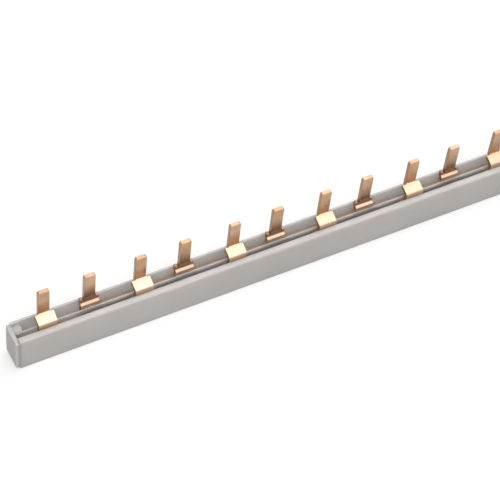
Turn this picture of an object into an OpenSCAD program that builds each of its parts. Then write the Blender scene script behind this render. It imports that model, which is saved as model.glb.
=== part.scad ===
// Two-pole pin comb busbar: an insulating channel profile that holds two flat copper combs.
// The combs' pins alternate along the length and all stand in one plane, ready for a row of
// clamp terminals. Each comb's tabs are cranked back to that plane, and end caps close the ends.
// X runs along the busbar, +Y is its rear and Z points up. The origin is at the middle of the
// profile's underside, so the busbar stands on its base with its pins upright.

/* [Length] */
// Number of pins on the two combs together, an even number
pin_count = 12; // [4:2:30]
// Distance between neighbouring pins, the width of one device module
pitch = 17.8; // [17.5:0.1:18.5]
// Distance from the profile's end to the centre of the nearest pin
end_margin = 11.2; // [10:0.1:16]

/* [Insulating profile] */
// Height of the front and rear walls
profile_h = 15.4; // [14.8:0.1:18]
// Thickness of the front wall
front_wall = 2.2; // [1.6:0.1:3]
// Thickness of the rear wall
rear_wall = 0.8; // [0.7:0.1:1.6]
// Thickness of the floor under the combs
floor_t = 1.2; // [1:0.1:1.6]
// Thickness of the rib's foot, between the two slots
rib_foot = 1.3; // [1.1:0.1:2]
// Thickness of the rib's upper blade
rib_blade = 0.6; // [0.4:0.1:1]
// How far the rib's top lies below the top of the walls
rib_drop = 1.3; // [1:0.1:2]
// Height of the slots that grip the combs, above the floor
slot_h = 7.3; // [5:0.1:8]
// Radius of the front wall's outer top edge
wall_round = 0.8; // [0.3:0.1:1.2]
// Radius of the profile's lower corners
base_round = 0.6; // [0.3:0.1:1]

/* [Copper combs] */
// Thickness of the copper strip
copper_t = 1.5; // [1.2:0.1:1.8]
// Height of the strip from its lower edge to the gaps between the tabs
strip_h = 11.6; // [10.6:0.1:11.8]
// Width of each tab
tab_w = 6.9; // [6.4:0.1:8]
// Radius between a tab's sides and the strip
root_round = 2.6; // [1.5:0.1:3]
// Width of each pin
pin_w = 4.1; // [3:0.1:4.4]
// Length of each pin above its root
pin_l = 10.9; // [9:0.1:14]
// Size of the chamfers at a pin's tip
tip_chamfer = 0.45; // [0.2:0.05:0.6]
// Height of a front tab's outer bend above the walls
tab_rise = 2; // [1.6:0.1:3]
// Rise of a front tab's shelf from its bend to the pin's root
shelf_rise = 1.4; // [1.2:0.1:2]
// How far the rear comb's crank carries its pins back
rear_crank = 0.9; // [0.6:0.1:1.2]
// Width of the relief notches beside the rear comb's pins
notch_w = 0.5; // [0.3:0.1:0.7]
// How far the rear comb has slid endways in its slot
rear_slip = 1.1; // [0:0.1:2]

/* [End caps] */
// Thickness of a cap's plate
cap_t = 1.45; // [1:0.05:2.5]
// How far a cap's plate stops short of the profile's top
cap_top_gap = 0.7; // [0.4:0.1:1.2]
// How far a cap's plate stops short of the profile's base
cap_base_gap = 1.1; // [0.6:0.1:2]
// How far a cap's tongues reach into the profile
tongue_l = 3.3; // [2:0.1:4]
// Radius of the cap's rear lower corner
cap_round = 1.2; // [0.4:0.1:1.5]

/* [Clearances] */
// Gap between a comb and each side of its slot
slot_fit = 0.1; // [0.05:0.05:0.15]
// Gap between the cap's tongues and the channels, all round
tongue_fit = 0.1; // [0.05:0.05:0.15]
// Gap between the pins' plane and the rear wall
pin_clearance = 0.7; // [0.6:0.1:1.5]

/* [Hidden] */
$fn = 48;

PLASTIC = [0.72, 0.70, 0.68];
COPPER = [0.80, 0.53, 0.36];

// Details too small to need a setting of their own
rear_wall_round = 0.3;
bend_round = 0.5;
shoulder_round = 0.4;
shoulder_drop = 1.1;
notch_depth = 0.9;
crank_to_notch = 0.6;
crank_angle = 45;
shelf_overlap = 0.1;
cap_corner = 0.4;
cap_side_gap = 0.1;
front_tongue_drop = 3;
over = 1;

// Lengths along X
profile_l = (pin_count - 1) * pitch + 2 * end_margin;
front_first_x = -profile_l / 2 + end_margin;
rear_first_x = front_first_x + pitch - rear_slip;
tabs_per_comb = pin_count / 2;
tab_pitch = 2 * pitch;
comb_l = (tabs_per_comb - 1) * tab_pitch + tab_w;

// Depths along Y, from the front face to the rear face
slot_w = copper_t + 2 * slot_fit;
rib_to_pins = slot_fit + rear_crank;
profile_d = front_wall + slot_w + rib_foot + rib_to_pins + copper_t + pin_clearance + rear_wall;
front_face_y = -profile_d / 2;
front_slot_y = front_face_y + front_wall;
front_strip_y = front_slot_y + slot_fit;
rib_rear_y = front_slot_y + slot_w + rib_foot;
blade_front_y = rib_rear_y - rib_blade;
rear_strip_y = rib_rear_y + slot_fit;
pin_y = rib_rear_y + rib_to_pins;
rear_wall_y = pin_y + copper_t + pin_clearance;
rear_face_y = rear_wall_y + rear_wall;

// Heights along Z
slot_top_z = floor_t + slot_h;
strip_top_z = floor_t + strip_h;
rib_top_z = profile_h - rib_drop;
bend_z = profile_h + tab_rise;
root_z = bend_z + shelf_rise;
tip_z = root_z + pin_l;
shoulder_z = root_z - shoulder_drop;
crank_top_z = shoulder_z - notch_depth - crank_to_notch;
crank_base_z = crank_top_z - rear_crank * tan(crank_angle);

// Angle that a front tab turns through at its bend, and back again at the pin's root
shelf_turn = atan((pin_y - front_strip_y) / shelf_rise);

// How far the strip's rear surface lies below its front surface at a bend
function mitre(turn) = copper_t * tan(turn / 2);

// What a rounding of radius r takes off a square corner at the origin
module corner_scrap(r) {
    difference() {
        square(r);
        translate([r, r])
            circle(r);
    }
}

// Cuts its children's corner at the point given; the shape lies on the sides dir points to
module rounded_corner(point, dir, r) {
    difference() {
        children();
        translate(point)
            scale(dir)
                union() {
                    corner_scrap(r);
                    translate([-over, -over])
                        square([over, r + over]);
                    translate([-over, -over])
                        square([r + over, over]);
                }
    }
}

// Runs a drawing of the YZ plane along X, from the start given
module along_x(start, length) {
    translate([start, 0, 0])
        rotate([90, 0, 90])
            linear_extrude(length)
                children();
}

// Runs a drawing of the XZ plane back along Y, right through the busbar
module along_y() {
    translate([0, rear_face_y, 0])
        rotate([90, 0, 0])
            linear_extrude(profile_d)
                children();
}

// ---- Insulating profile ----

module profile_outline() {
    rounded_corner([front_face_y, 0], [1, 1], base_round)
        rounded_corner([rear_face_y, 0], [-1, 1], base_round)
            rounded_corner([front_face_y, profile_h], [1, -1], wall_round)
                rounded_corner([rear_face_y, profile_h], [-1, -1], rear_wall_round)
                    translate([front_face_y, 0])
                        square([profile_d, profile_h]);
}

// A channel of the profile: a slot that grips a strip, and an opening above it that reaches to
// the depth given
module channel(slot_y, opening_end_y) {
    translate([slot_y, floor_t])
        square([slot_w, slot_h + over]);
    translate([slot_y, slot_top_z])
        square([opening_end_y - slot_y, profile_h]);
}

module insulating_profile() {
    color(PLASTIC)
        along_x(-profile_l / 2, profile_l)
            difference() {
                profile_outline();
                channel(front_slot_y, blade_front_y);
                channel(rib_rear_y, rear_wall_y);
                translate([front_slot_y, rib_top_z])
                    square([rear_wall_y - front_slot_y, profile_h]);
            }
}

// ---- Combs ----

// Front view of one pin down to the strip, with its chamfered tip
module pin_front() {
    polygon([
        [-pin_w / 2, floor_t],
        [-pin_w / 2, tip_z - tip_chamfer],
        [-pin_w / 2 + tip_chamfer, tip_z],
        [pin_w / 2 - tip_chamfer, tip_z],
        [pin_w / 2, tip_z - tip_chamfer],
        [pin_w / 2, floor_t]
    ]);
}

// Front view of one tab up to the height given, with the roundings at its root
module tab_front(top_z) {
    translate([-tab_w / 2, floor_t])
        square([tab_w, top_z - floor_t]);
    for (side = [-1, 1])
        translate([side * tab_w / 2, strip_top_z])
            scale([side, 1])
                corner_scrap(root_round);
}

// Front view of a whole strip, with its children drawn at every tab and trimmed to its ends
module comb_front(first_x) {
    translate([first_x - tab_w / 2, floor_t])
        square([comb_l, strip_h]);
    intersection() {
        translate([first_x - tab_w / 2, floor_t])
            square([comb_l, tip_z]);
        for (i = [0 : tabs_per_comb - 1])
            translate([first_x + i * tab_pitch, 0])
                children();
    }
}

// What the rounding of the front tabs' bend takes off the corner at the origin
module bend_scrap() {
    reach = bend_round * tan(shelf_turn / 2);
    centre = [bend_round, -reach];
    difference() {
        polygon([
            [0, -reach],
            [-reach, reach],
            [reach * sin(shelf_turn), reach * cos(shelf_turn)],
            centre
        ]);
        translate(centre)
            circle(bend_round);
    }
}

// Side view of the front comb: strip, bend, sloping shelf and upright pin
module front_comb_side() {
    difference() {
        polygon([
            [front_strip_y, floor_t],
            [front_strip_y, bend_z],
            [pin_y, root_z],
            [pin_y, tip_z],
            [pin_y + copper_t, tip_z],
            [pin_y + copper_t, root_z - mitre(shelf_turn)],
            [front_strip_y + copper_t, bend_z - mitre(shelf_turn)],
            [front_strip_y + copper_t, floor_t]
        ]);
        translate([front_strip_y, bend_z])
            bend_scrap();
    }
}

// Side view of the rear comb: strip, crank and upright pin
module rear_comb_side() {
    polygon([
        [rear_strip_y, floor_t],
        [rear_strip_y, crank_base_z],
        [pin_y, crank_top_z],
        [pin_y, tip_z],
        [pin_y + copper_t, tip_z],
        [pin_y + copper_t, crank_top_z - mitre(crank_angle)],
        [rear_strip_y + copper_t, crank_base_z - mitre(crank_angle)],
        [rear_strip_y + copper_t, floor_t]
    ]);
}

// Front view of a rear tab: rounded shoulders, with relief notches beside the pin
module rear_tab_front() {
    difference() {
        rounded_corner([-tab_w / 2, shoulder_z], [1, -1], shoulder_round)
            rounded_corner([tab_w / 2, shoulder_z], [-1, -1], shoulder_round)
                tab_front(shoulder_z);
        for (side = [-1, 1])
            translate([side * (pin_w + notch_w) / 2 - notch_w / 2, shoulder_z - notch_depth])
                square([notch_w, notch_depth + over]);
    }
}

// Solid comb: the side view, its first child, along the strip, cut to the front view of its
// second child at every tab
module comb_solid(first_x) {
    intersection() {
        along_x(first_x - tab_w / 2, comb_l)
            children(0);
        along_y()
            comb_front(first_x)
                children(1);
    }
}

module front_comb() {
    color(COPPER) {
        comb_solid(front_first_x) {
            intersection() {
                front_comb_side();
                translate([front_face_y, 0])
                    square([pin_y + shelf_overlap - front_face_y, root_z]);
            }
            tab_front(root_z);
        }
        comb_solid(front_first_x) {
            front_comb_side();
            pin_front();
        }
    }
}

module rear_comb() {
    color(COPPER) {
        comb_solid(rear_first_x) {
            rear_comb_side();
            rear_tab_front();
        }
        comb_solid(rear_first_x) {
            rear_comb_side();
            pin_front();
        }
    }
}

// ---- End caps ----

module cap_outline() {
    low = cap_base_gap;
    high = profile_h - cap_top_gap;
    front = front_face_y + cap_side_gap;
    rear = rear_face_y - cap_side_gap;
    rounded_corner([front, low], [1, 1], cap_corner)
        rounded_corner([rear, low], [-1, 1], cap_round)
            rounded_corner([front, high], [1, -1], cap_corner)
                rounded_corner([rear, high], [-1, -1], cap_corner)
                    translate([front, low])
                        square([rear - front, high - low]);
}

// A tongue that fills a channel to the height given: a narrow foot in the slot, wider above
module tongue_outline(slot_y, opening_end_y, top_z) {
    front = slot_y + tongue_fit;
    low = floor_t + tongue_fit;
    ledge = slot_top_z + tongue_fit;
    translate([front, low])
        square([slot_w - 2 * tongue_fit, top_z - low]);
    translate([front, ledge])
        square([opening_end_y - tongue_fit - front, top_z - ledge]);
}

// A cap for the left end, its plate's inner face at the origin
module end_cap() {
    color(PLASTIC) {
        along_x(-cap_t, cap_t)
            cap_outline();
        along_x(0, tongue_l) {
            tongue_outline(front_slot_y, blade_front_y, rib_top_z - front_tongue_drop);
            tongue_outline(rib_rear_y, rear_wall_y, rib_top_z);
        }
    }
}

module left_end_cap() {
    translate([-profile_l / 2, 0, 0])
        end_cap();
}

module right_end_cap() {
    translate([profile_l / 2, 0, 0])
        mirror([1, 0, 0])
            end_cap();
}

insulating_profile();
front_comb();
rear_comb();
left_end_cap();
right_end_cap();
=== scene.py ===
# %% [markdown]
# # A two-pole comb busbar
#
# A comb busbar feeds a row of circuit breakers. Two copper combs lie in a grey plastic channel,
# and their pins alternate along its length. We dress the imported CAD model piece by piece:
# first the camera, then the shapes as numpy surfaces, then the finishes, the light and the floor.

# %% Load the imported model
import math

import bpy
import numpy as np
from mathutils import Matrix, Vector


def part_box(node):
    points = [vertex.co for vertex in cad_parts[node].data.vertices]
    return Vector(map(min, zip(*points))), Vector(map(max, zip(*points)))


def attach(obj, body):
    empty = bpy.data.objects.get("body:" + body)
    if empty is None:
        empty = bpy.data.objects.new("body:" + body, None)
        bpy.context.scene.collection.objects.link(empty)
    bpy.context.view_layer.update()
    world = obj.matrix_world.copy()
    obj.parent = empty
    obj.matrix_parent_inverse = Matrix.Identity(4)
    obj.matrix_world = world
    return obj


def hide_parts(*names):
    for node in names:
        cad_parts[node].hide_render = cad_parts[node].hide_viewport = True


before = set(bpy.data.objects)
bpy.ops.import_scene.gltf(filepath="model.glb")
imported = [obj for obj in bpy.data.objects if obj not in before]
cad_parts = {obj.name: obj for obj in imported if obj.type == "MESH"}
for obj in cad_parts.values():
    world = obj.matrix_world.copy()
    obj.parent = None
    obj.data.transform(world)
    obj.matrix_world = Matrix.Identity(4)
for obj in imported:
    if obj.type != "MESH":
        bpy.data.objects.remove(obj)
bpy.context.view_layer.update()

MM = 0.001
print("nodes:", sorted(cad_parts))

# %% [markdown]
# ## Where things are
#
# Every position comes from the boxes of the CAD nodes. A handful of sizes inside those boxes,
# such as wall and copper thicknesses, are written here once, in metres.

# %% Boxes and sizes
profile_low, profile_high = (np.array(corner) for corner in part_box("insulating_profile"))
front_low, front_high = (np.array(corner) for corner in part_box("front_comb"))
rear_low, rear_high = (np.array(corner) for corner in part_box("rear_comb"))

COPPER = 1.5 * MM
FLOOR_THICKNESS = 1.2 * MM
FRONT_WALL, REAR_WALL = 2.2 * MM, 0.8 * MM
SLOT_TOP = 8.5 * MM
RIB_TOP = 14.1 * MM
RIB_FOOT, RIB_BLADE = 1.3 * MM, 0.6 * MM
SLOT_FIT = 0.1 * MM
PINS_PER_COMB = 6
TAB_WIDTH, PIN_WIDTH = 6.9 * MM, 4.1 * MM
tab_pitch = (front_high[0] - front_low[0] - TAB_WIDTH) / (PINS_PER_COMB - 1)
print("profile %.1f x %.1f x %.1f mm, tabs every %.2f mm"
      % (*((profile_high - profile_low) / MM), tab_pitch / MM))

# %% [markdown]
# ## The camera
#
# The camera comes first, because it decides which surfaces earn the most care. It stands well
# back with a long lens, so the far end of the bar shrinks only a little. It is placed by its
# direction and distance from a point on the bar, then rolled a few degrees so that the bar
# climbs across the view.

# %% Place the camera
AIM = Vector((-20.9 * MM, -0.2 * MM, 15.0 * MM))
CAMERA_TURN = math.radians(33.27)
CAMERA_HEIGHT = math.radians(52.17)
CAMERA_ROLL = math.radians(7.77)
CAMERA_DISTANCE = 0.6811
LENS, SENSOR = 140.89, 36.0

away = Vector((-math.sin(CAMERA_TURN) * math.cos(CAMERA_HEIGHT),
               -math.cos(CAMERA_TURN) * math.cos(CAMERA_HEIGHT),
               math.sin(CAMERA_HEIGHT)))
camera_data = bpy.data.cameras.new("camera")
camera_data.lens = LENS
camera_data.sensor_width = SENSOR
camera = bpy.data.objects.new("camera", camera_data)
bpy.context.scene.collection.objects.link(camera)
look = (-away).to_track_quat("-Z", "Y").to_matrix().to_4x4()
camera.matrix_world = (Matrix.Translation(AIM + away * CAMERA_DISTANCE) @ look
                       @ Matrix.Rotation(CAMERA_ROLL, 4, "Z"))
bpy.context.scene.camera = camera
print("camera stands at", [round(c, 4) for c in camera.matrix_world.translation])

# %% [markdown]
# ## Light and background
#
# Three large panels give soft light, so the greys stay even. The world around them does two
# jobs: it lights the bar faintly from every side, and where only its colour matters (to the
# camera, in reflections) it shows plain white.

# %% Studio
SOFT_WHITE = (1.0, 0.99, 0.98)
LIT_POINT = (0.0, 0.0, 0.01)


def panel(name, size, place, strength):
    """A rectangular area lamp at place, facing the bar. Its power is strength x pi x its area,
    so strength is the brightness of its surface."""
    lamp = bpy.data.lights.new(name, "AREA")
    lamp.shape = "RECTANGLE"
    lamp.size, lamp.size_y = size
    lamp.energy = strength * math.pi * size[0] * size[1]
    lamp.color = SOFT_WHITE
    holder = bpy.data.objects.new(name, lamp)
    holder.location = place
    facing = Vector(LIT_POINT) - Vector(place)
    holder.rotation_euler = facing.to_track_quat("-Z", "Y").to_euler()
    bpy.context.scene.collection.objects.link(holder)


panel("overhead_panel", size=(0.62, 0.72), place=(0.22, 0.14, 0.75), strength=2.35)
panel("front_panel", size=(0.5, 0.45), place=(-0.25, -0.33, 0.61), strength=3.5)
panel("side_panel", size=(0.45, 0.35), place=(0.36, -0.75, 0.5), strength=1.4)


def background_world(light, seen):
    """A world that lights the bar at one strength and shows white to camera and reflections."""
    world = bpy.data.worlds.new("studio")
    world.use_nodes = True
    tree = world.node_tree
    back = tree.nodes["Background"]
    path = tree.nodes.new("ShaderNodeLightPath")
    back.inputs["Color"].default_value = (1.0, 1.0, 1.0, 1.0)
    shown = tree.nodes.new("ShaderNodeMath")
    shown.operation = "MAXIMUM"
    tree.links.new(path.outputs["Is Camera Ray"], shown.inputs[0])
    tree.links.new(path.outputs["Is Glossy Ray"], shown.inputs[1])
    mix = tree.nodes.new("ShaderNodeMix")
    mix.inputs["A"].default_value = light
    mix.inputs["B"].default_value = seen
    tree.links.new(shown.outputs[0], mix.inputs["Factor"])
    tree.links.new(mix.outputs["Result"], back.inputs["Strength"])
    bpy.context.scene.world = world


SKY_LIGHT, SKY_SEEN = 0.2, 1.0
background_world(SKY_LIGHT, SKY_SEEN)

# %% [markdown]
# ## Lines with rounded corners
#
# Extruded and bent parts have no truly sharp corners. One helper rounds every corner of a line
# at once, and the channel, the caps and the bends of the copper all use it.

# %% Round the corners of a line
def rounded(corners, radii, steps=6, closed=True):
    """Rounds a line of the plane. Each corner P, with unit directions a and b to its neighbours
    and half angle h between them, becomes an arc of radius r about P + r (a + b) / (|a + b| sin h)
    from P + a r / tan h to P + b r / tan h; the spokes between are blended by angle. An open line
    keeps its two ends as they are."""
    corners = np.asarray(corners, float)
    inner = corners if closed else corners[1:-1]
    before = np.roll(corners, 1, 0) if closed else corners[:-2]
    after = np.roll(corners, -1, 0) if closed else corners[2:]
    a = (before - inner) / np.linalg.norm(before - inner, axis=1, keepdims=True)
    b = (after - inner) / np.linalg.norm(after - inner, axis=1, keepdims=True)
    radius = np.broadcast_to(np.asarray(radii, float), len(inner))[:, None]
    half = np.arccos(np.clip((a * b).sum(1, keepdims=True), -1, 1)) / 2
    middle_way = (a + b) / np.linalg.norm(a + b, axis=1, keepdims=True)
    centre = inner + middle_way * radius / np.sin(half)
    start = inner + a * radius / np.tan(half) - centre
    end = inner + b * radius / np.tan(half) - centre
    turn = (math.pi - 2 * half)[:, :, None]
    share = np.linspace(0, 1, steps + 1)[None, :, None]
    arcs = (np.sin((1 - share) * turn) * start[:, None] + np.sin(share * turn) * end[:, None])
    arcs = (centre[:, None] + arcs / np.sin(turn)).reshape(-1, 2)
    return arcs if closed else np.vstack([corners[:1], arcs, corners[-1:]])


# %% Make a mesh object from arrays
def surface(name, points, polygons, material_slot, smooth_angle=30.0):
    """A mesh object at the origin, smooth except where faces meet at more than smooth_angle."""
    mesh = bpy.data.meshes.new(name)
    mesh.from_pydata(np.asarray(points).tolist(), [], polygons)
    mesh.polygons.foreach_set("use_smooth", np.ones(len(mesh.polygons), bool))
    mesh.set_sharp_from_angle(angle=math.radians(smooth_angle))
    piece = bpy.data.objects.new(name, mesh)
    bpy.context.scene.collection.objects.link(piece)
    weigh = piece.modifiers.new("even_normals", "WEIGHTED_NORMAL")
    weigh.keep_sharp = True
    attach(piece, "root")
    return piece


# %% Carry an outline along X
def carried(outline, stations, insets):
    """Point (k, s) is (station k, outline s moved inwards by inset k). Inwards is the mitred
    normal of the outline, which runs anticlockwise seen from +X. Returns points and polygons."""
    along = np.roll(outline, -1, 0) - outline
    along /= np.linalg.norm(along, axis=1, keepdims=True)
    normal = np.stack([-along[:, 1], along[:, 0]], 1)
    mitred = normal + np.roll(normal, 1, 0)
    mitred *= 2 / (mitred ** 2).sum(1, keepdims=True)
    rings = outline[None] + np.asarray(insets)[:, None, None] * mitred[None]
    x = np.broadcast_to(np.asarray(stations)[:, None, None], rings.shape[:2] + (1,))
    points = np.concatenate([x, rings], 2).reshape(-1, 3)
    count, size = len(stations), len(outline)
    index = np.arange(count * size).reshape(count, size)
    ahead = np.roll(index, -1, 1)
    sides = np.stack([index[:-1], ahead[:-1], ahead[1:], index[1:]], -1).reshape(-1, 4)
    ends = [index[0][::-1].tolist(), index[-1].tolist()]
    return points, sides.tolist() + ends


# %% [markdown]
# ## The insulating profile
#
# The channel is extruded: one E-shaped section, the same from end to end, then sawn to length.
# So it is an outline carried along X. The front wall is thick with a well rounded top, the rear
# wall is thin, and the rib between the combs narrows to a blade.

# %% The profile's section
front_face, rear_face = profile_low[1], profile_high[1]
top = profile_high[2]
front_slot = front_face + FRONT_WALL
slot = COPPER + 2 * SLOT_FIT
rib_rear = front_slot + slot + RIB_FOOT
rear_wall = rear_face - REAR_WALL

section = [(front_face, 0), (rear_face, 0), (rear_face, top), (rear_wall, top),
           (rear_wall, SLOT_TOP), (rib_rear + slot, SLOT_TOP),
           (rib_rear + slot, FLOOR_THICKNESS), (rib_rear, FLOOR_THICKNESS),
           (rib_rear, RIB_TOP), (rib_rear - RIB_BLADE, RIB_TOP),
           (rib_rear - RIB_BLADE, SLOT_TOP), (front_slot + slot, SLOT_TOP),
           (front_slot + slot, FLOOR_THICKNESS), (front_slot, FLOOR_THICKNESS),
           (front_slot, top), (front_face, top)]
section_radii = np.array([0.6, 0.6, 0.3, 0.25, 0.1, 0.1, 0.1, 0.1,
                          0.2, 0.2, 0.1, 0.1, 0.1, 0.1, 0.35, 0.8]) * MM

# %% The profile
CUT_EDGE = 0.06 * MM
outline = rounded(section, section_radii)
ends = (profile_low[0], profile_high[0])
profile_points, profile_faces = carried(
    outline, [ends[0], ends[0] + CUT_EDGE, ends[1] - CUT_EDGE, ends[1]],
    [CUT_EDGE, 0, 0, CUT_EDGE])
profile = surface("channel_profile", profile_points, profile_faces, "grey_plastic")
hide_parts("insulating_profile")
print("profile outline:", len(outline), "points,", len(profile_faces), "faces")

# %% [markdown]
# ## The copper combs
#
# Each comb starts as a flat blank, punched from strip: a long band with tabs, and a pin on each
# tab. A press then bends it. So a comb is a grid of rows up the sheet and columns along it.
# A mask says which cells hold copper, and each row has a front and a rear point in the side
# view, which bends the blank. The mask's borders get walls, as thick as the sheet.

# %% Turn a blank into a bent sheet
def bent_sheet(front, back, x_front, x_back, present):
    """Front and back skins are (x[row, column], y[row], z[row]). Cell (row, column) is copper
    where present. A wall closes every border between a present and an absent cell."""
    def skin(side, x):
        yz = np.broadcast_to(side[:, None, :], x.shape + (2,))
        return np.concatenate([x[..., None], yz], -1)

    rows, columns = x_front.shape
    points = np.stack([skin(front, x_front), skin(back, x_back)]).reshape(-1, 3)
    near = np.arange(rows * columns).reshape(rows, columns)
    far = near + rows * columns
    here = np.pad(present, 1)
    quads = [np.stack([near[:-1, :-1], near[:-1, 1:], near[1:, 1:], near[1:, :-1]], -1)[present],
             np.stack([far[:-1, :-1], far[1:, :-1], far[1:, 1:], far[:-1, 1:]], -1)[present]]
    level = [far[:, :-1], far[:, 1:], near[:, 1:], near[:, :-1]]
    upright = [near[:-1], near[1:], far[1:], far[:-1]]
    under, over = here[:-1, 1:-1], here[1:, 1:-1]
    left, right = here[1:-1, :-1], here[1:-1, 1:]
    quads += [np.stack(level, -1)[over & ~under], np.stack(level[::-1], -1)[under & ~over],
              np.stack(upright, -1)[right & ~left], np.stack(upright[::-1], -1)[left & ~right]]
    skins = len(quads[0]) + len(quads[1])
    quads = np.concatenate(quads)
    used, quads = np.unique(quads, return_inverse=True)
    return points[used], quads.reshape(-1, 4).tolist(), skins


# %% [markdown]
# The columns are the same for both combs: the tab's edge, a relief notch, the pin's edge and
# the pin's middle, mirrored. The tab's edge flares into the strip with a quarter circle.

# %% Columns of a comb
STRIP_TOP = 12.8 * MM
ROOT_RADIUS = 2.6 * MM
NOTCH = 0.5 * MM
TIP_CHAMFER = 0.45 * MM
tip = front_high[2]


def columns(low_x, z, shoulder_top, shoulder_radius):
    """x of every column at the heights z. Tab edge: half the tab, plus r - sqrt(r^2 - (R - z)^2)
    in the root's rounding, less the same kind of term at the shoulder. Pin edge: half the pin,
    less the height above the start of the tip's chamfer. End tabs have no outer rounding."""
    to_root = np.clip(STRIP_TOP + ROOT_RADIUS - z, 0, ROOT_RADIUS)
    flare = ROOT_RADIUS - np.sqrt(ROOT_RADIUS ** 2 - to_root ** 2)
    up_shoulder = np.clip(z - shoulder_top + shoulder_radius, 0, shoulder_radius)
    drop = shoulder_radius - np.sqrt(shoulder_radius ** 2 - up_shoulder ** 2)
    edge = TAB_WIDTH / 2 - drop
    pin = PIN_WIDTH / 2 - np.clip(z - tip + TIP_CHAMFER, 0, TIP_CHAMFER)
    notch = np.full_like(z, PIN_WIDTH / 2 + NOTCH)
    offsets = np.stack([-edge - flare, -notch, -pin, 0 * z, pin, notch, edge + flare], 1)
    centres = low_x + TAB_WIDTH / 2 + tab_pitch * np.arange(PINS_PER_COMB)
    x = centres[None, :, None] + offsets[:, None, :]
    x[:, 0, 0] += flare
    x[:, -1, -1] -= flare
    return x.reshape(len(z), -1)


def copper_cells(row_tops, shoulder_top, notch_floor):
    """Present where the row's top is no higher than the column's limit: the gap between tabs
    ends at the strip's top, a shoulder and a notch at their own heights, the pin at its tip."""
    tab = [shoulder_top, notch_floor, tip, tip, notch_floor, shoulder_top, STRIP_TOP]
    limits = np.array((tab * PINS_PER_COMB)[:-1])
    return row_tops[:, None] <= limits[None] + 0.001 * MM


# %% [markdown]
# A press leaves a generous radius outside a bend and a tight one inside. The front comb bends
# back over the rib as a sloping shelf and turns up again; the rear comb only needs a small crank.

# %% Rows of the rear comb
OUTER_BEND, INNER_BEND = 0.8 * MM, 0.3 * MM
BEND_STEPS = 5
CRANK_ANGLE = 45.0
SHOULDER_TOP, NOTCH_FLOOR, SHOULDER_RADIUS = 17.7 * MM, 16.8 * MM, 0.4 * MM
ROOT_BELOW_CRANK = 65.0
root_rise = ROOT_RADIUS * (1 - np.cos(np.radians(np.linspace(0, ROOT_BELOW_CRANK, 7))))


def straight(y, heights):
    """Points of an upright stretch of the side view."""
    return np.stack([np.full(len(heights), y), heights], 1)


def comb_rows(y_low, y_high, bends, radii, low_heights, high_heights):
    """One side of the sheet: up at y_low, round two bends to y_high, and up again."""
    line = rounded([(y_low, low_heights[-1]), (y_low, bends[0]), (y_high, bends[1]),
                    (y_high, high_heights[0])], radii, steps=BEND_STEPS, closed=False)
    return np.vstack([straight(y_low, low_heights), line[1:-1], straight(y_high, high_heights)])


rear_y = rear_low[1]
pin_y = rear_high[1] - COPPER
crank = (15.3 * MM, 16.2 * MM)
crank_mitre = COPPER * math.tan(math.radians(CRANK_ANGLE / 2))
shoulder_rise = np.sin(np.radians(np.linspace(0, 90, 6)))
rear_lower = np.concatenate([[rear_low[2]], STRIP_TOP + root_rise])
rear_upper = np.concatenate([[NOTCH_FLOOR],
                             SHOULDER_TOP - SHOULDER_RADIUS * (1 - shoulder_rise),
                             [tip - TIP_CHAMFER, tip]])
rear_front = comb_rows(rear_y, pin_y, crank, [OUTER_BEND, INNER_BEND], rear_lower, rear_upper)
rear_back = comb_rows(rear_y + COPPER, pin_y + COPPER, [c - crank_mitre for c in crank],
                      [INNER_BEND, OUTER_BEND], rear_lower, rear_upper)

# %% The rear comb
PUNCHED_EDGE = 0.12 * MM
SHARP_FROM = 40.0


def comb_piece(name, front, back, low_x, shoulder_top, shoulder_radius, cells):
    """A comb from its rows and cells, with the edges eased that the punch leaves sharp. The
    attribute cut_face is 1 on the walls that the punch has sheared and 0 on the rolled skins."""
    points, faces, skins = bent_sheet(
        front, back, columns(low_x, front[:, 1], shoulder_top, shoulder_radius),
        columns(low_x, back[:, 1], shoulder_top, shoulder_radius), cells)
    piece = surface(name, points, faces, "copper", smooth_angle=SHARP_FROM)
    cut = piece.data.attributes.new("cut_face", "FLOAT", "FACE")
    cut.data.foreach_set("value", (np.arange(len(faces)) >= skins).astype(np.float32))
    ease = piece.modifiers.new("eased_edges", "BEVEL")
    ease.width, ease.segments, ease.limit_method = PUNCHED_EDGE, 2, "ANGLE"
    ease.angle_limit = math.radians(SHARP_FROM)
    # The edges are eased first, and the weighted normals are worked out after that.
    piece.modifiers.move(1, 0)
    print(name, len(points), "points,", len(faces), "faces")
    return piece


rear_cells = copper_cells(rear_front[1:, 1], SHOULDER_TOP, NOTCH_FLOOR)
rear_comb = comb_piece("rear_copper_comb", rear_front, rear_back, rear_low[0],
                       SHOULDER_TOP, SHOULDER_RADIUS, rear_cells)
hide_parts("rear_comb")

# %% Rows of the front comb
front_y = front_low[1]
shelf = (17.4 * MM, 18.8 * MM)
shelf_turn = math.atan2(pin_y - front_y, shelf[1] - shelf[0])
shelf_mitre = COPPER * math.tan(shelf_turn / 2)
SHELF_BEND = 0.5 * MM
front_lower = np.concatenate([[front_low[2]], STRIP_TOP + ROOT_RADIUS
                              * (1 - np.cos(np.radians(np.linspace(0, 90, 9))))])
front_upper = np.array([tip - TIP_CHAMFER, tip])
front_front = comb_rows(front_y, pin_y, shelf, [SHELF_BEND, INNER_BEND / 2],
                        front_lower, front_upper)
front_back = comb_rows(front_y + COPPER, pin_y + COPPER, [s - shelf_mitre for s in shelf],
                       [INNER_BEND, SHELF_BEND], front_lower, front_upper)

# %% [markdown]
# The shelf's full width stops close to the front of the pins, so one more row goes in where
# the punch cuts the shelf off and leaves only the pin to turn upwards.

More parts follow.
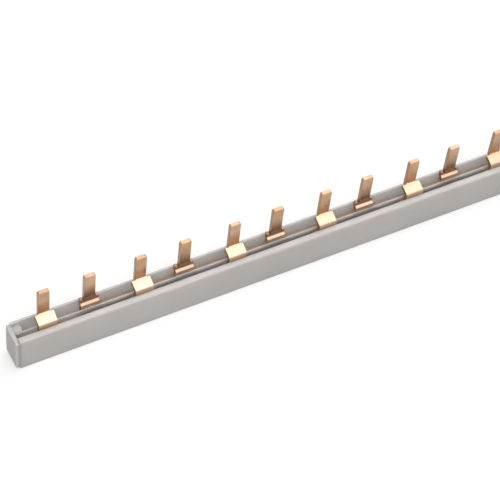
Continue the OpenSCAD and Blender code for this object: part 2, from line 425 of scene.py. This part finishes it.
# %% The front comb
CUT_BEFORE_PIN, CUT_BEHIND_PIN = 0.18 * MM, 0.1 * MM
shelf_end_row = len(front_lower) + BEND_STEPS + 1
slope = (shelf[1] - shelf[0]) / (pin_y - front_y)
end_front = pin_y - CUT_BEFORE_PIN
end_back = pin_y + CUT_BEHIND_PIN
cut_front = (end_front, shelf[0] + slope * (end_front - front_y))
cut_back = (end_back, shelf[0] - shelf_mitre + slope * (end_back - front_y - COPPER))
front_front = np.insert(front_front, shelf_end_row, cut_front, 0)
front_back = np.insert(front_back, shelf_end_row, cut_back, 0)
front_cells = copper_cells(front_front[1:, 1], cut_front[1], cut_front[1])
front_comb = comb_piece("front_copper_comb", front_front, front_back, front_low[0],
                        tip, SHOULDER_RADIUS, front_cells)
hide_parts("front_comb")

# %% [markdown]
# ## The end caps
#
# A cap is moulded: a plate whose edges are all softly rounded, with two tongues that push into
# the channels. The plate's outline is drawn in towards its faces along a quarter circle.

# %% The caps
CAP_TOP_GAP, CAP_BASE_GAP, CAP_SIDE_GAP = 0.7 * MM, 1.1 * MM, 0.1 * MM
CAP_EDGE, INNER_EDGE = 0.3 * MM, 0.12 * MM
TONGUE_LENGTH, TONGUE_FIT, FRONT_TONGUE_DROP = 3.3 * MM, 0.1 * MM, 3.0 * MM
TONGUE_NOSE, TONGUE_CORNER = 0.55 * MM, 0.15 * MM
CAP_CORNER, CAP_LOWER_REAR_CORNER = 0.4 * MM, 1.2 * MM
quarter = np.radians(np.linspace(0, 90, 6))


def tongue_section(slot_y, opening_end, height):
    """A narrow foot for the slot, wider above the ledge, up to the height."""
    y, low = slot_y + TONGUE_FIT, FLOOR_THICKNESS + TONGUE_FIT
    foot, wide = y + slot - 2 * TONGUE_FIT, opening_end - TONGUE_FIT
    ledge = SLOT_TOP + TONGUE_FIT
    return rounded([(y, low), (foot, low), (foot, ledge), (wide, ledge), (wide, height),
                    (y, height)], TONGUE_CORNER, steps=4)


def eased_slab(outline, start, end, start_edge, end_edge):
    """An outline carried from start to end, its rims rounded with quarter circles."""
    direction = math.copysign(1, end - start)
    stations = np.concatenate([start + direction * start_edge * (1 - np.sin(quarter)[::-1]),
                               end - direction * end_edge * (1 - np.sin(quarter))])
    insets = np.concatenate([start_edge * (1 - np.cos(quarter)[::-1]),
                             end_edge * (1 - np.cos(quarter))])
    if direction < 0:
        stations, insets = stations[::-1], insets[::-1]
    return carried(outline, stations, insets)


def joined(parts):
    """Several (points, polygons) pairs as one, each part's indices moved past the last's."""
    points, polygons, offset = [], [], 0
    for part_points, part_polygons in parts:
        points.append(part_points)
        polygons += [[corner + offset for corner in polygon] for polygon in part_polygons]
        offset += len(part_points)
    return np.vstack(points), polygons


cap_front, cap_rear = front_face + CAP_SIDE_GAP, rear_face - CAP_SIDE_GAP
cap_outline = rounded([(cap_front, CAP_BASE_GAP), (cap_rear, CAP_BASE_GAP),
                       (cap_rear, top - CAP_TOP_GAP), (cap_front, top - CAP_TOP_GAP)],
                      [CAP_CORNER, CAP_LOWER_REAR_CORNER, CAP_CORNER, CAP_CORNER])
moulded_caps = []
for side, name in ((0, "left_end_cap"), (1, "right_end_cap")):
    outward = (-1, 1)[side]
    inner_face = ends[side]
    outer_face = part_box(name)[side][0]
    tongue_tip = inner_face - outward * TONGUE_LENGTH
    parts = [eased_slab(cap_outline, outer_face, inner_face, CAP_EDGE, INNER_EDGE)]
    for slot_y, opening_end, height in (
            (front_slot, rib_rear - RIB_BLADE, RIB_TOP - FRONT_TONGUE_DROP),
            (rib_rear, rear_wall, RIB_TOP)):
        parts.append(eased_slab(tongue_section(slot_y, opening_end, height),
                                inner_face, tongue_tip, 0.0, TONGUE_NOSE))
    cap = surface(name + "_moulding", *joined(parts), "grey_plastic")
    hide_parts(name)
    moulded_caps.append(cap)
    print(cap.name, len(cap.data.vertices), "points")

# %% [markdown]
# ## Shared effects
#
# Real surfaces are never one flat value. Three small node groups are built once and used by
# every finish: slow clouds of tone, fine lines drawn along the bar by a die or a rolling mill,
# and scattered specks.

# %% Helpers for node trees
def effect(name, inputs, outputs):
    """A shader node group with float inputs {name: default} and outputs, plus Position."""
    group = bpy.data.node_groups.new(name, "ShaderNodeTree")
    group.interface.new_socket("Position", in_out="INPUT", socket_type="NodeSocketVector")
    for label, value in inputs.items():
        socket = group.interface.new_socket(label, in_out="INPUT", socket_type="NodeSocketFloat")
        socket.default_value = value
    for label in outputs:
        group.interface.new_socket(label, in_out="OUTPUT", socket_type="NodeSocketFloat")
    return group, group.nodes.new("NodeGroupInput"), group.nodes.new("NodeGroupOutput")


def noise(tree, vector, scale, detail=2.0):
    """A noise texture on a vector socket; scale may be a number or a socket."""
    node = tree.nodes.new("ShaderNodeTexNoise")
    node.inputs["Detail"].default_value = detail
    tree.links.new(vector, node.inputs["Vector"])
    if isinstance(scale, (int, float)):
        node.inputs["Scale"].default_value = scale
    else:
        tree.links.new(scale, node.inputs["Scale"])
    return node.outputs[0]


def remap(tree, value, low, high, to_low=0.0, to_high=1.0):
    """Stretches low..high of a value to to_low..to_high, and clamps it there."""
    node = tree.nodes.new("ShaderNodeMapRange")
    for label, number in (("From Min", low), ("From Max", high),
                          ("To Min", to_low), ("To Max", to_high)):
        node.inputs[label].default_value = number
    tree.links.new(value, node.inputs["Value"])
    return node.outputs["Result"]


def blend_colours(tree, factor, first, second, mode="MIX"):
    """Mixes two colours by a factor; each colour is a tuple or a socket."""
    node = tree.nodes.new("ShaderNodeMix")
    node.data_type, node.blend_type = "RGBA", mode
    for socket, value in ((node.inputs[0], factor), (node.inputs[6], first),
                          (node.inputs[7], second)):
        if isinstance(value, bpy.types.NodeSocket):
            tree.links.new(value, socket)
        else:
            socket.default_value = value if socket.type == "VALUE" else (*value, 1.0)
    return node.outputs[2]


def arithmetic(tree, operation, first, second):
    """One Math node; each operand is a number or a socket."""
    node = tree.nodes.new("ShaderNodeMath")
    node.operation = operation
    for socket, value in zip(node.inputs, (first, second)):
        if isinstance(value, bpy.types.NodeSocket):
            tree.links.new(value, socket)
        else:
            socket.default_value = value
    return node.outputs[0]


# %% Clouds, drawn lines and specks
NOISE_LOW, NOISE_HIGH = 0.3, 0.7
LINE_SQUEEZE = 0.03
SPECK_RIM = 0.05

clouds, given, made = effect("clouds", {"Size per metre": 60.0}, ["Tone"])
clouds.links.new(remap(clouds, noise(clouds, given.outputs["Position"],
                                     given.outputs["Size per metre"], 3.0), NOISE_LOW, NOISE_HIGH),
                 made.inputs["Tone"])

drawn, given, made = effect("drawn_lines", {"Lines per metre": 3000.0}, ["Lines"])
squeeze = drawn.nodes.new("ShaderNodeVectorMath")
squeeze.operation = "MULTIPLY"
squeeze.inputs[1].default_value = (LINE_SQUEEZE, 1.0, 1.0)
drawn.links.new(given.outputs["Position"], squeeze.inputs[0])
drawn.links.new(remap(drawn, noise(drawn, squeeze.outputs[0],
                                   given.outputs["Lines per metre"], 3.0), NOISE_LOW, NOISE_HIGH),
                made.inputs["Lines"])

specks, given, made = effect("specks", {"Specks per metre": 500.0, "Rarity": 0.72}, ["Speck"])
speck_noise = noise(specks, given.outputs["Position"], given.outputs["Specks per metre"], 1.0)
above = arithmetic(specks, "SUBTRACT", speck_noise, given.outputs["Rarity"])
specks.links.new(remap(specks, above, 0.0, SPECK_RIM), made.inputs["Speck"])
print("effects:", [group.name for group in (clouds, drawn, specks)])


# %% Start a material
def finish_tree(name):
    """A new material's tree, its Principled shader and the Object coordinates to paint on."""
    material = bpy.data.materials.new(name)
    material.use_nodes = True
    tree = material.node_tree
    position = tree.nodes.new("ShaderNodeTexCoord").outputs["Object"]
    return material, tree, tree.nodes["Principled BSDF"], position


def use(tree, group, position, **values):
    """Places an effect on a position with its own values, and gives back its first output."""
    node = tree.nodes.new("ShaderNodeGroup")
    node.node_tree = group
    tree.links.new(position, node.inputs["Position"])
    for label, value in values.items():
        node.inputs[label.replace("_", " ")].default_value = value
    return node.outputs[0]


def relief(tree, shader, height, depth):
    """Feeds a height of 0..1 to the shader's normal as relief of the depth given, in metres."""
    bump = tree.nodes.new("ShaderNodeBump")
    bump.inputs["Distance"].default_value = depth
    bump.inputs["Strength"].default_value = 1.0
    tree.links.new(height, bump.inputs["Height"])
    tree.links.new(bump.outputs["Normal"], shader.inputs["Normal"])


# %% [markdown]
# ## Grey plastic
#
# Both plastics are a light warm grey with a satin skin. The extruded channel keeps faint lines
# along its length from the die; the moulded caps have an even, spark-eroded grain instead. Thin
# grey plastic lets some light through, so it scatters light for a few millimetres below the skin.

# %% The two plastics
GREY = (0.66, 0.63, 0.61)
GREY_DEEP = (0.62, 0.59, 0.57)
GREY_SPECK, SPECK_SHARE = (0.3, 0.28, 0.26), 0.35
SATIN_LOW, SATIN_HIGH = 0.42, 0.54
GRAIN_PER_METRE = 9000.0
PLASTIC_RELIEF = 0.0015 * MM
LIGHT_REACH = 5.0 * MM


def plastic(name, lines_strength):
    """Warm grey with slow clouds, rare darker specks, and drawn lines where it is extruded."""
    material, tree, shader, position = finish_tree(name)
    cloud = use(tree, clouds, position, Size_per_metre=45.0)
    colour = blend_colours(tree, cloud, GREY_DEEP, GREY)
    speck = use(tree, specks, position, Specks_per_metre=900.0, Rarity=0.74)
    speck = arithmetic(tree, "MULTIPLY", speck, SPECK_SHARE)
    colour = blend_colours(tree, speck, colour, GREY_SPECK)
    lines = use(tree, drawn, position, Lines_per_metre=2600.0)
    grain = noise(tree, position, GRAIN_PER_METRE)
    height = arithmetic(tree, "ADD", arithmetic(tree, "MULTIPLY", lines, lines_strength),
                        arithmetic(tree, "MULTIPLY", grain, 1 - lines_strength))
    tree.links.new(colour, shader.inputs["Base Color"])
    tree.links.new(remap(tree, height, 0.2, 0.8, SATIN_LOW, SATIN_HIGH),
                   shader.inputs["Roughness"])
    shader.inputs["Specular IOR Level"].default_value = 0.4
    shader.inputs["Subsurface Weight"].default_value = 1.0
    shader.inputs["Subsurface Radius"].default_value = (1.0, 0.95, 0.9)
    shader.inputs["Subsurface Scale"].default_value = LIGHT_REACH
    relief(tree, shader, height, PLASTIC_RELIEF)
    return material


extruded_grey = plastic("extruded_grey", lines_strength=0.7)
moulded_grey = plastic("moulded_grey", lines_strength=0.0)
print("plastics:", extruded_grey.name, moulded_grey.name)

# %% [markdown]
# ## Copper
#
# The strip is bare rolled copper: warm and bright where it is fresh, browner where hands and
# air have touched it, with rolling lines along the bar. The faces that the punch sheared are
# duller and darker than the rolled skins, except at the coined tips. The tabs are more matt than
# the pins, and their colour is made paler as painted light; the strip's sheared upper edge, sunk
# in the channel, is rougher and darkened as painted shade.

# %% Copper colours and shares
FRESH = (0.55, 0.37, 0.25)
BROWNED = (0.43, 0.26, 0.15)
SHEARED = (0.31, 0.19, 0.115)
# Painted shade: the dark colour given to the sheared faces down in the channel, where little light
# reaches.
PAINTED_CHANNEL_SHADE = (0.33, 0.25, 0.19)
STAINED = (0.25, 0.12, 0.07)
# Painted light: the pale colour given to the lower tabs and the shelves in place of the light they
# catch.
PAINTED_PALE_LIGHT = (0.63, 0.465, 0.345)
LINE_SHARE, STAIN_SHARE, STREAK_SHARE = 0.12, 0.5, 0.45
LIT_AND_MATT_SHARE, CUT_SHARE = 0.85, 0.85
POLISHED, ROLLED = 0.17, 0.27
CUT_ROUGH, DULL_ROUGH, MATT_ROUGH = 0.12, 0.35, 0.13
COPPER_RELIEF = 0.0012 * MM

# %% The rolled skin, browned on the pins, with painted light paling the tabs
LIT_AND_MATT_UP_TO, BRIGHT_FROM = 18.2 * MM, 19.2 * MM

rolled_copper, tree, shader, position = finish_tree("rolled_copper")
tarnish = use(tree, clouds, position, Size_per_metre=180.0)
colour = blend_colours(tree, tarnish, BROWNED, FRESH)
lines = use(tree, drawn, position, Lines_per_metre=4200.0)
colour = blend_colours(tree, arithmetic(tree, "MULTIPLY", lines, LINE_SHARE), colour, BROWNED)
stain = use(tree, specks, position, Specks_per_metre=420.0, Rarity=0.70)
colour = blend_colours(tree, arithmetic(tree, "MULTIPLY", stain, STAIN_SHARE), colour, STAINED)
height_up = tree.nodes.new("ShaderNodeSeparateXYZ")
tree.links.new(position, height_up.inputs[0])
height_up = height_up.outputs["Z"]
# Painted light: below these heights the tabs and shelves are painted paler, with pale streaks, in
# place of the light they catch; they are made more matt too.
lit_and_matt = remap(tree, height_up, LIT_AND_MATT_UP_TO, BRIGHT_FROM, LIT_AND_MATT_SHARE, 0.0)
streaks = use(tree, drawn, position, Lines_per_metre=1100.0)
painted_light_streaked = blend_colours(tree, arithmetic(tree, "MULTIPLY", streaks, STREAK_SHARE), PAINTED_PALE_LIGHT, FRESH)
colour = blend_colours(tree, lit_and_matt, colour, painted_light_streaked)

# %% The sheared faces, bright at the coined tips and darkened as painted shade down in the channel
COIN_START, COIN_END = tip - 0.4 * MM, tip - 0.1 * MM
SUNK_UP_TO, CLEAR_FROM = 13.4 * MM, 14.4 * MM

cut = tree.nodes.new("ShaderNodeAttribute")
cut.attribute_name = "cut_face"
cut = cut.outputs["Fac"]
coined = remap(tree, height_up, COIN_START, COIN_END, CUT_SHARE, 0.0)
colour = blend_colours(tree, arithmetic(tree, "MULTIPLY", cut, coined), colour, SHEARED)
# Painted shade: sheared faces low in the channel are darkened where the channel shades them, and
# made rougher too.
sunk_shade = remap(tree, height_up, SUNK_UP_TO, CLEAR_FROM, 1.0, 0.0)
shade_and_dull = arithmetic(tree, "MULTIPLY", cut, sunk_shade)
colour = blend_colours(tree, shade_and_dull, colour, PAINTED_CHANNEL_SHADE)

# %% Finish the copper
roughness = remap(tree, lines, 0, 1, POLISHED, ROLLED)
for where, more in ((cut, CUT_ROUGH), (shade_and_dull, DULL_ROUGH), (lit_and_matt, MATT_ROUGH)):
    extra = arithmetic(tree, "MULTIPLY", where, more)
    roughness = arithmetic(tree, "ADD", roughness, extra)
tree.links.new(colour, shader.inputs["Base Color"])
tree.links.new(roughness, shader.inputs["Roughness"])
shader.inputs["Metallic"].default_value = 1.0
relief(tree, shader, arithmetic(tree, "ADD", lines, streaks), COPPER_RELIEF)
print(rolled_copper.name, "has", len(tree.nodes), "nodes")

# %% Dress every piece
wardrobe = {profile: extruded_grey, rear_comb: rolled_copper, front_comb: rolled_copper}
wardrobe.update((cap, moulded_grey) for cap in moulded_caps)
for piece, dress in wardrobe.items():
    piece.data.materials.append(dress)
    print(piece.name, "wears", dress.name)

# %% [markdown]
# ## The floor
#
# The floor is a pale diffuse sheet. To the camera and in reflections it also glows, at about
# half strength near the bar and almost fully far away, so that it reads pale from low angles
# too and the bar keeps its shadow.

# %% Floor
FLOOR_HALF = 2.5
floor_mesh = bpy.data.meshes.new("studio_floor")
floor_mesh.from_pydata([(-FLOOR_HALF, -FLOOR_HALF, 0), (FLOOR_HALF, -FLOOR_HALF, 0),
                        (FLOOR_HALF, FLOOR_HALF, 0), (-FLOOR_HALF, FLOOR_HALF, 0)],
                       [], [(0, 1, 2, 3)])
floor = bpy.data.objects.new("studio_floor", floor_mesh)
bpy.context.scene.collection.objects.link(floor)

pale, tree, shader, position = finish_tree("pale_floor")
shader.inputs["Base Color"].default_value = (0.62, 0.62, 0.62, 1.0)
shader.inputs["Roughness"].default_value = 0.9
shader.inputs["Specular IOR Level"].default_value = 0.0
shader.inputs["Emission Color"].default_value = (1.0, 1.0, 1.0, 1.0)
path = tree.nodes.new("ShaderNodeLightPath")
seen = arithmetic(tree, "MAXIMUM", path.outputs["Is Camera Ray"],
                  path.outputs["Is Glossy Ray"])
seen = arithmetic(tree, "MAXIMUM", seen, path.outputs["Is Transmission Ray"])
distance = tree.nodes.new("ShaderNodeVectorMath")
distance.operation = "LENGTH"
tree.links.new(position, distance.inputs[0])
NEAR, FAR = 0.25, 0.9
NEAR_GLOW, FAR_GLOW = 0.47, 0.95
glow = remap(tree, distance.outputs["Value"], NEAR, FAR, NEAR_GLOW, FAR_GLOW)
tree.links.new(arithmetic(tree, "MULTIPLY", seen, glow), shader.inputs["Emission Strength"])
floor_mesh.materials.append(pale)
print("floor glows", NEAR_GLOW, "near the bar and", FAR_GLOW, "far from it")

# %% [markdown]
# ## Colour
#
# Colours are shown as they are written. Both boxes are kept, so the dressed bar's size can be
# held against the model's.

# %% Colour as written
bpy.context.scene.view_settings.view_transform = "Standard"
